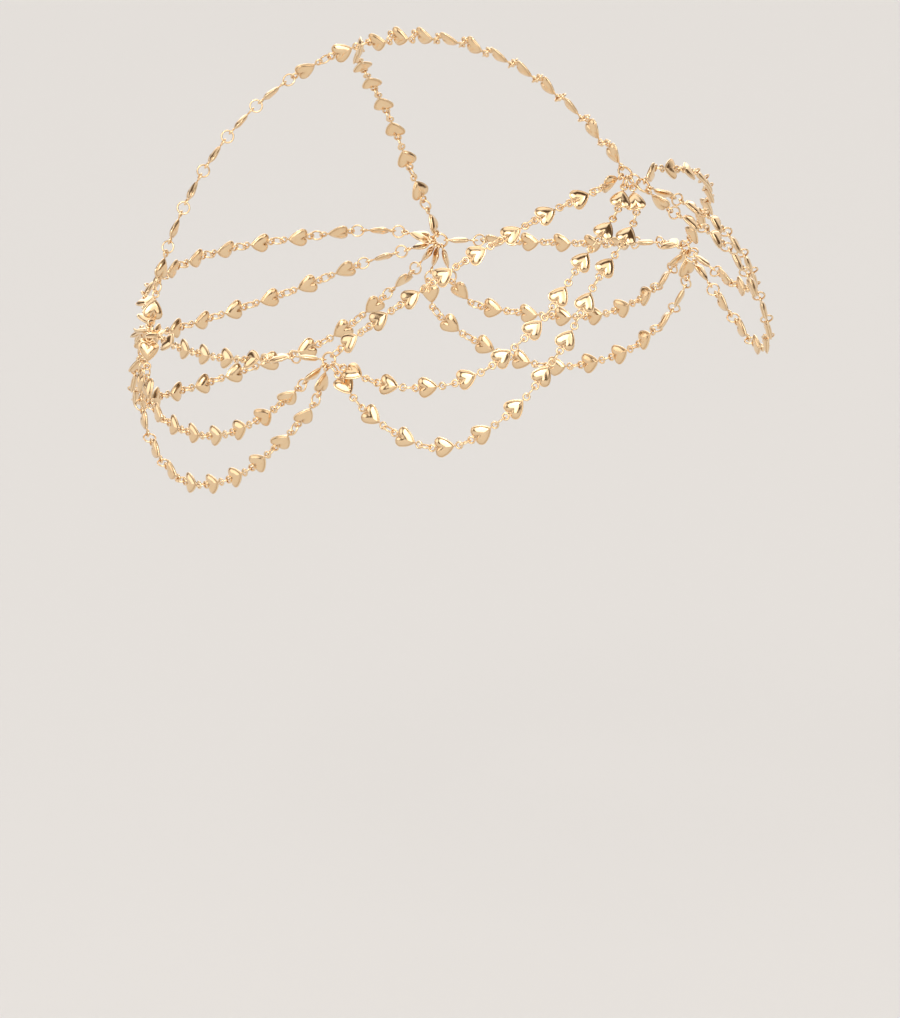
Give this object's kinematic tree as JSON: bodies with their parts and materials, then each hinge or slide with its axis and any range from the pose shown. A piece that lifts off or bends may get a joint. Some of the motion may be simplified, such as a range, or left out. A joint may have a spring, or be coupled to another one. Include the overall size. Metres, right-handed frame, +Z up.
{
  "type": "head chain",
  "caption": "Head chain of small puffed heart links: three swags of chain a panel between rings round the head, and a strand over the crown that forks behind it.",
  "frame": {"origin": "top of the head that the chain lies on, under the strand over the crown", "axes": "the wearer faces -Y with the head bowed a little, +X is the wearer's left, +Z up"},
  "size_m": [0.1744, 0.2067, 0.1444],
  "materials": {
    "link_metal": "polished, pale rose gold plating",
    "ring_metal": "polished, pale rose gold plating"
  },
  "bodies": {
    "root": {"front_ring_upper": "ring_metal", "front_ring_link": "ring_metal", "front_ring_lower": "ring_metal", "side_ring_right": "ring_metal", "side_ring_left": "ring_metal", "back_ring_right": "ring_metal", "back_ring_left": "ring_metal", "crown_ring": "ring_metal", "front_right_upper": "link_metal", "front_right_middle": "link_metal", "front_right_lower": "link_metal", "front_left_upper": "link_metal", "front_left_middle": "link_metal", "front_left_lower": "link_metal", "side_right_upper": "link_metal", "side_right_middle": "link_metal", "side_right_lower": "link_metal", "side_left_upper": "link_metal", "side_left_middle": "link_metal", "side_left_lower": "link_metal", "back_upper": "link_metal", "back_middle": "link_metal", "back_lower": "link_metal", "crown_strand": "link_metal", "rear_right_strand": "link_metal", "rear_left_strand": "link_metal"}
  },
  "joints": []
}
